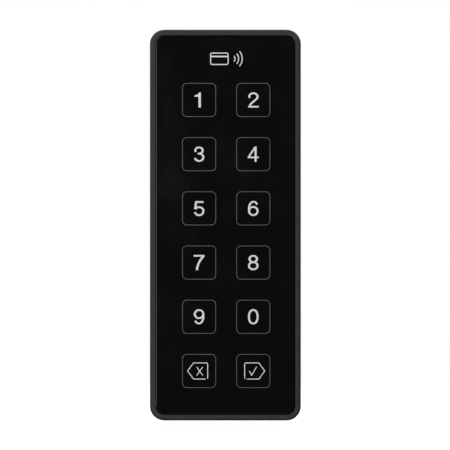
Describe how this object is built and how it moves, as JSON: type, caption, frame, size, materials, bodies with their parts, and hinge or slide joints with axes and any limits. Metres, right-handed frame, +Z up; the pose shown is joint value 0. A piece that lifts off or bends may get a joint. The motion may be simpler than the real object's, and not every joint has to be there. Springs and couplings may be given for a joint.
{
  "type": "rfid card reader",
  "caption": "Slim upright wall reader for access cards: a glossy black touch keypad face in a matte housing that hangs on a hooked wall plate, tilts off it and is locked by a screw underneath.",
  "frame": {"origin": "centre of the housing's front outline, projected onto the wall plane, on the wall plate's back face", "axes": "+X to the right seen from the front, +Y into the wall, +Z up; the keypad face looks along -Y"},
  "size_m": [0.0502, 0.022, 0.13],
  "materials": {
    "housing_plastic": "fine matte grain",
    "gloss_black": "polished",
    "dark_plastic": "moulded matte",
    "rubber_black": "soft matte",
    "film": "printed film",
    "legend_print": "screen-printed ink",
    "clear_plastic": "frosted clear",
    "circuit_board": "solder resist",
    "chip_black": "moulded matte",
    "copper": "enamelled wire",
    "steel": "plated",
    "connector_ivory": "moulded",
    "terminal_green": "moulded",
    "led_white": "resin"
  },
  "bodies": {
    "wall_plate": {"wall_plate": "dark_plastic", "cable_grommet": "rubber_black"},
    "reader_unit": {"housing": "housing_plastic", "face_lens": "gloss_black", "lens_gasket": "rubber_black", "legend_film": "film", "light_diffuser": "clear_plastic", "touch_board": "circuit_board", "main_board": "circuit_board", "antenna_coil": "copper", "microcontroller": "chip_black", "reader_chip": "chip_black", "touch_controller": "chip_black", "voltage_regulator": "chip_black", "power_inductor": "chip_black", "crystal": "steel", "board_socket": "connector_ivory", "board_header": "connector_ivory", "buzzer": "dark_plastic", "supply_capacitor": "steel", "terminal_block": "terminal_green", "tamper_switch": "connector_ivory", "tamper_spring": "steel", "rear_cover": "dark_plastic", "rear_seal": "rubber_black", "key_light_1": "led_white", "key_light_2": "led_white", "key_light_3": "led_white", "key_light_4": "led_white", "key_light_5": "led_white", "key_light_6": "led_white", "key_light_7": "led_white", "key_light_8": "led_white", "key_light_9": "led_white", "key_light_10": "led_white", "key_light_11": "led_white", "key_light_12": "led_white", "status_light_1": "led_white", "status_light_2": "led_white", "terminal_screw_1": "steel", "terminal_screw_2": "steel", "terminal_screw_3": "steel", "terminal_screw_4": "steel", "terminal_screw_5": "steel", "terminal_screw_6": "steel", "terminal_screw_7": "steel", "terminal_screw_8": "steel", "cover_screw_1": "steel", "cover_screw_2": "steel", "cover_screw_3": "steel", "cover_screw_4": "steel", "board_screw_1": "steel", "board_screw_2": "steel", "board_screw_3": "steel", "board_screw_4": "steel"},
    "lock_washer": {"lock_washer": "steel"},
    "locking_screw": {"locking_screw": "steel"},
    "tamper_plunger": {"tamper_plunger": "connector_ivory"}
  },
  "joints": [
    {"name": "unit_tilt", "type": "hinge", "parent": "wall_plate", "child": "reader_unit", "pos_m": [0, -0.0046, 0.0608], "axis": [-1, 0, 0], "range_deg": [0, 35]},
    {"name": "screw_advance", "type": "slide", "parent": "wall_plate", "child": "lock_washer", "axis": [0, 0, -1], "range_m": [0, 0.001]},
    {"name": "screw_turn", "type": "hinge", "parent": "lock_washer", "child": "locking_screw", "pos_m": [0, -0.007, -0.0627], "axis": [0, 0, -1], "range_deg": [0, 720]},
    {"name": "tamper_travel", "type": "slide", "parent": "reader_unit", "child": "tamper_plunger", "axis": [0, 1, 0], "range_m": [0, 0.0015], "stiffness_N_per_m": 300, "springref_m": 0.0035, "deforming": ["tamper_spring"]}
  ],
  "couplings": [
    {"joint": "screw_turn", "follows": "screw_advance", "rad_per_m": 12566}
  ]
}
